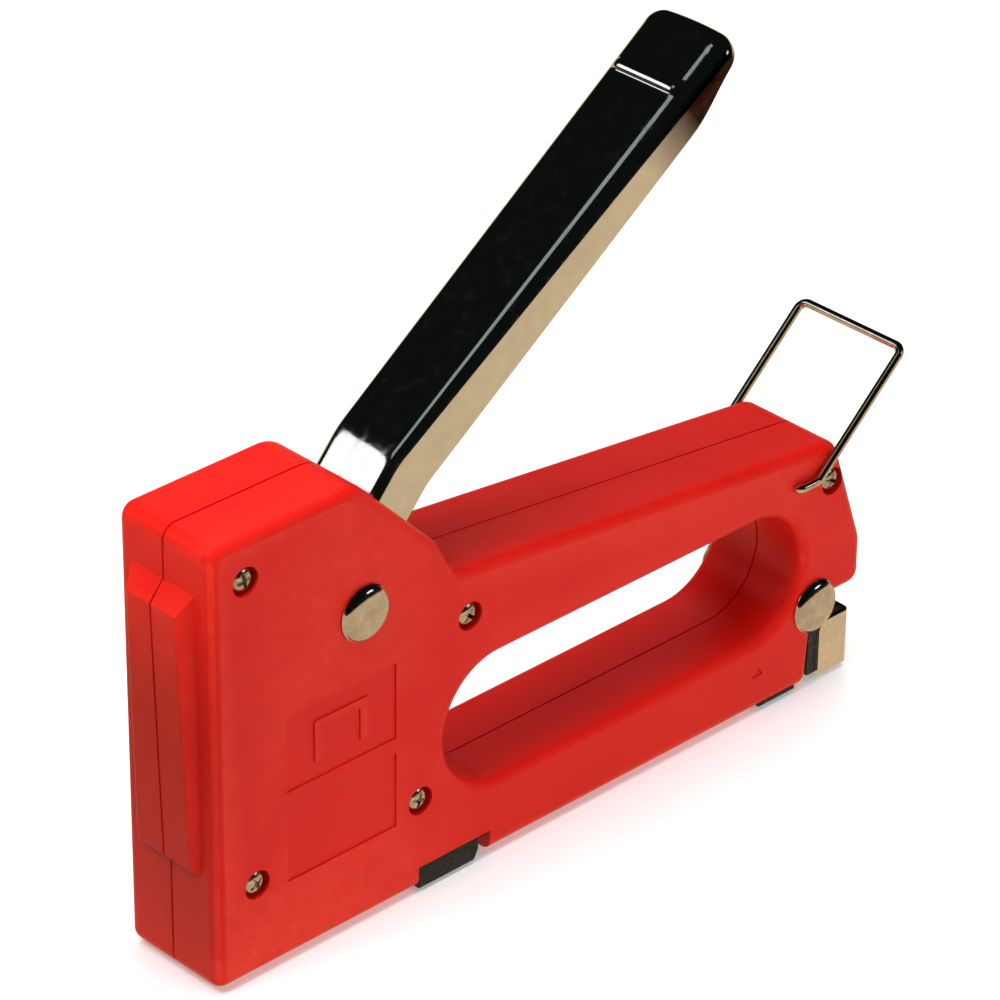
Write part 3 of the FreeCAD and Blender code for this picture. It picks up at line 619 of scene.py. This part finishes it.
def lever_outline():
    """Plan of the outside, right side, end, left side: (s, y, outward s, outward y)."""
    corner_s = LEVER_END - CORNER_R
    rows = [(s, lever_half(s), 0.0, 1.0) for s in ROWS_AT]
    half = lever_half(corner_s)
    for k in range(13):
        t = math.radians(90 - 7.5 * k)
        y = half - CORNER_R + CORNER_R * math.sin(t)
        crown = END_CROWN * (1 - (y / half) ** 2) * math.cos(t)
        rows.append((corner_s + CORNER_R * math.cos(t) + crown, y, math.cos(t), math.sin(t)))
    for k in range(1, 9):
        y = (half - CORNER_R) * (1 - k / 8)
        rows.append((LEVER_END + END_CROWN * (1 - (y / half) ** 2), y, 1.0, 0.0))
    return rows + [(s, -y, out_s, -out_y) for s, y, out_s, out_y in reversed(rows[:-1])]


def lever_line(row, inset):
    """Section of the sheet's skin from the rim up the side, round the edge and in to the middle."""
    s, y, out_s, out_y = row
    share = abs(out_s)
    low = lever_depth(s) - RIM_R
    edge = min(lever_edge_r(s) * (1 - share) + END_EDGE_R * share, low - RIM_GAP)
    middle = SHEET / 2
    to_middle = 1 if inset < middle else -1
    rim = arc((0, 0), RIM_R, 90, 30, 2)
    line = [(inset + to_middle * (RIM_R - reach), low + rise) for reach, rise in rim]
    line += [(inset, low + (edge - low) * k / 5) for k in range(5)]
    radius = edge - inset
    for k in range(10):
        t = math.radians(10 * k)
        line.append((edge - radius * math.cos(t), edge - radius * math.sin(t)))
    points = [lever_point(s - out_s * inwards, y - out_y * inwards, drop) for inwards, drop in line]
    flat_s, flat_y = s - out_s * edge, y - out_y * edge
    goal = min(s, SPINE_END)
    for k in range(1, 9):
        points.append(lever_point(flat_s + (goal - flat_s) * k / 9, flat_y * (1 - k / 9), inset))
    return points


def lever_sheet(build):
    """Pressed top, edges and sides, as one bent sheet with a round rim."""
    rows = lever_outline()
    spines = {}
    strips = []
    for row in rows:
        key = round(min(row[0], SPINE_END), 4)
        if key not in spines:
            spines[key] = [build.verts.new(lever_point(key, 0.0, inset)) for inset in (0.0, SHEET)]
        outer = [build.verts.new(point) for point in lever_line(row, 0.0)] + [spines[key][0]]
        inner = [build.verts.new(point) for point in lever_line(row, SHEET)] + [spines[key][1]]
        strips.append((outer, inner))
    for first, second in zip(strips, strips[1:]):
        one, two = first[1][::-1] + first[0], second[1][::-1] + second[0]
        for k in range(len(one) - 1):
            corners = list(dict.fromkeys([one[k], one[k + 1], two[k + 1], two[k]]))
            if len(corners) > 2:
                build.faces.new(corners)
    for outer, inner in (strips[0], strips[-1]):
        for k in range(len(outer) - 1):
            build.faces.new((outer[k], outer[k + 1], inner[k + 1], inner[k]))


def lever_cheeks(build):
    """Two side plates, from the channel's base round the pivot to the fingers under the lift pin."""
    corners = (CHEEK_TOP_FRONT, *FINGER, CHEEK_TOP_REAR)
    top_front, *finger, top_rear = [(PIVOT[0] + x, PIVOT[1] + z) for x, z in corners]
    outline = [top_front] + arc(PIVOT, CHEEK_R, *CHEEK_FRONT_ARC, 12) + finger
    outline += arc(PIVOT, CHEEK_R, *CHEEK_REAR_ARC, 10) + [top_rear]
    hole = arc(PIVOT, CHEEK_HOLE_R, 0, 360 - 360 / HOLE_SIDES, HOLE_SIDES - 1)
    for side in (-1, 1):
        rims = []
        for y in (side * BASE_HALF, side * (BASE_HALF - SHEET)):
            loops = [[build.verts.new((x, y, z)) for x, z in points] for points in (outline, hole)]
            edges = [build.edges.new((loop[k - 1], loop[k])) for loop in loops for k in range(len(loop))]
            bmesh.ops.triangle_fill(build, use_beauty=True, edges=edges)
            rims.append(loops)
        for outer, inner in zip(*rims):
            for k in range(len(outer)):
                build.faces.new((outer[k - 1], outer[k], inner[k], inner[k - 1]))


def add_lever():
    """Sheet and cheeks, as one piece."""
    build = bmesh.new()
    lever_sheet(build)
    lever_cheeks(build)
    add_piece("pressed_lever", build, "lever", "chrome", "lever", sharp=40)


# ---------------------------------------------------------------- springs
# Wire radius and turns of each coil.
COILS = {"main_spring": (0.8, 12), "pusher_spring": (0.3, 48)}
COIL_STEPS = 24
WIRE_SIDES = 10
# Rise of a closed end turn, in wire radii.
CLOSED_RISE = 2.05


def coil(build, low, high, lengthways, wire_r, turns):
    """Helical wire that fills a box along one of its axes, with a closed turn at each end."""
    across = [axis for axis in range(3) if axis != lengthways]
    centre = [(low[axis] + high[axis]) / 2 for axis in across]
    mean_r = (high[across[0]] - low[across[0]]) / 2 - wire_r
    start, end = low[lengthways] + wire_r, high[lengthways] - wire_r
    closed = CLOSED_RISE * wire_r
    rings = []
    for k in range(turns * COIL_STEPS + 1):
        turn = k / COIL_STEPS
        open_share = max(0.0, min(1.0, (turn - 1) / (turns - 2)))
        place = start + closed * (min(turn, 1.0) + max(0.0, turn - turns + 1))
        place += open_share * (end - start - 2 * closed)
        angle = 2 * math.pi * turn
        ring = []
        for j in range(WIRE_SIDES):
            round_wire = 2 * math.pi * j / WIRE_SIDES
            reach = mean_r + wire_r * math.cos(round_wire)
            spot = [0.0, 0.0, 0.0]
            spot[across[0]] = centre[0] + reach * math.cos(angle)
            spot[across[1]] = centre[1] + reach * math.sin(angle)
            spot[lengthways] = place + wire_r * math.sin(round_wire)
            ring.append(build.verts.new(spot))
        rings.append(ring)
    for first, second in zip(rings, rings[1:]):
        for j in range(WIRE_SIDES):
            build.faces.new((first[j - 1], first[j], second[j], second[j - 1]))
    build.faces.new(rings[0])
    build.faces.new(rings[-1][::-1])


def add_springs():
    """Coils in the places of the springs that the joints squeeze, on the bodies that hold them."""
    bodies = frame["record"]["behaviour"]["bodies"]
    for joint in frame["record"]["behaviour"]["joints"]:
        for soft in joint.get("deforming_nodes", []):
            node, letter = soft["node"], soft["mode"][-1]
            lengthways = "xyz".index(letter)
            low, high = (Vector(corner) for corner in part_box(node))
            build = bmesh.new()
            coil(build, low / MM, high / MM, lengthways, *COILS[node])
            body = next(name for name, nodes in bodies.items() if node in nodes)
            piece = add_piece(node + "_coil", build, body, "spring_steel", node, sharp=60)
            anchor = (low + high) / 2
            anchor[lengthways] = soft[f"fixed_end_{letter}_m"]
            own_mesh(piece)


# ---------------------------------------------------------------- stage
FLOOR_HEIGHT = -0.001
FLOOR_REACH = 6.0
FLAG_PLACE = (-0.035, 0.0, 0.03)
FLAG_WIDE = 0.2
FLAG_HIGH = 0.06


def add_stage():
    """Plain pale floor, just under the sole; it doesn't show in reflections."""
    mesh = bpy.data.meshes.new("floor")
    build = bmesh.new()
    bmesh.ops.create_grid(build, x_segments=1, y_segments=1, size=FLOOR_REACH)
    build.to_mesh(mesh)
    build.free()
    floor = bpy.data.objects.new("floor", mesh)
    bpy.context.scene.collection.objects.link(floor)
    floor.location.z = FLOOR_HEIGHT
    floor.visible_glossy = False
    g = Graph("floor")
    g.colour(g.ramp(g.noise(3, 2), 0.3, 0.7, (0.90, 0.90, 0.90), (0.92, 0.92, 0.92)))
    g.set(Roughness=0.9, Emission_Color=(1, 1, 1, 1), Emission_Strength=0.22)
    mesh.materials.append(g.material)


def add_light(name, place, turn, size, power, colour=(1, 1, 1)):
    """Rectangular area light that shines along the turned -Z; the camera doesn't see it."""
    data = bpy.data.lights.new(name, "AREA")
    data.shape = "RECTANGLE"
    data.size, data.size_y = size
    data.energy = power
    data.color = colour
    light = bpy.data.objects.new(name, data)
    bpy.context.scene.collection.objects.link(light)
    light.location = place
    light.rotation_mode = "QUATERNION"
    light.rotation_quaternion = turn
    light.visible_camera = False
    return light


def fill(name, away, size, power):
    """Soft light on the object that polished faces don't mirror."""
    light = add_light(name, CAMERA_AIM + away, (-away).to_track_quat("-Z", "Y"), size, power)
    light.visible_glossy = False


def card(name, away, across, size, glow, colour=(1, 1, 1)):
    """Light that only shows in reflections; across is the direction of its first side."""
    back = away.normalized()
    side = (across - back * across.dot(back)).normalized()
    turn = Matrix((side, back.cross(side), back)).transposed().to_quaternion()
    power = glow * math.pi * size[0] * size[1]
    light = add_light(name, CAMERA_AIM + away, turn, size, power, colour)
    light.visible_diffuse = False


def add_flag():
    """Black board in front of the nose: it keeps the floor's light off the lower front, out of sight."""
    g = Graph("flag")
    g.colour(g.ramp(g.noise(20, 2), 0.3, 0.7, (0.004, 0.004, 0.004), (0.008, 0.008, 0.008)))
    g.set(Roughness=0.9)
    build = bmesh.new()
    corners = ((-1, -1), (1, -1), (1, 1), (-1, 1))
    build.faces.new([build.verts.new((0, y * FLAG_WIDE / 2, z * FLAG_HIGH / 2)) for y, z in corners])
    mesh = bpy.data.meshes.new("flag")
    build.to_mesh(mesh)
    build.free()
    mesh.materials.append(g.material)
    board = bpy.data.objects.new("flag", mesh)
    bpy.context.scene.collection.objects.link(board)
    board.location = FLAG_PLACE
    board.visible_camera = False
    board.visible_glossy = False
    board.visible_shadow = False


def heading(azimuth, elevation, distance):
    """Vector from the aim, with the azimuth counted from +X towards +Y."""
    a, e = math.radians(azimuth), math.radians(elevation)
    return Vector((math.cos(a) * math.cos(e), math.sin(a) * math.cos(e), math.sin(e))) * distance


def add_lights():
    """Dark studio: fills light the plastic, and cards give the plated parts something to mirror."""
    world = bpy.data.worlds.new("studio")
    world.use_nodes = True
    world.node_tree.nodes["Background"].inputs["Color"].default_value = (0.0045, 0.005, 0.005, 1)
    bpy.context.scene.world = world
    fill("overhead", Vector((0.2, 0.1, 1.4)), (1.4, 1.4), 21)
    fill("left_fill", Vector((0.2, -1.6, 0.7)), (1.2, 0.9), 12)
    fill("nose_fill", Vector((-0.23, -0.01, 0.21)), (0.12, 0.12), 0.6)
    fill("rear_fill", Vector((1.2, 1.0, 0.8)), (0.9, 0.9), 7)
    level = Vector((0.0, 0.0, 1.0))
    card("base_card", heading(139, 28, 1.6), level, (0.66, 0.8), 1.2)
    card("edge_card", heading(164, 63, 1.6), level, (0.62, 0.62), 0.32, (0.86, 1.0, 0.92))
    card("side_card", heading(-50, 21, 1.5), level, (0.16, 0.46), 3.0)
    down = Vector((0.0, 0.0, FLOOR_HEIGHT / 2 - CAMERA_AIM.z))
    card("floor_card", down, Vector((1.0, 0.0, 0.0)), (5.0, 5.0), 0.62, (1.0, 0.74, 0.44))


add_camera()
dress_cad()
add_domes()
add_screws()
add_lever()
add_springs()
add_stage()
add_flag()
add_lights()
bpy.context.scene.view_settings.view_transform = "Standard"
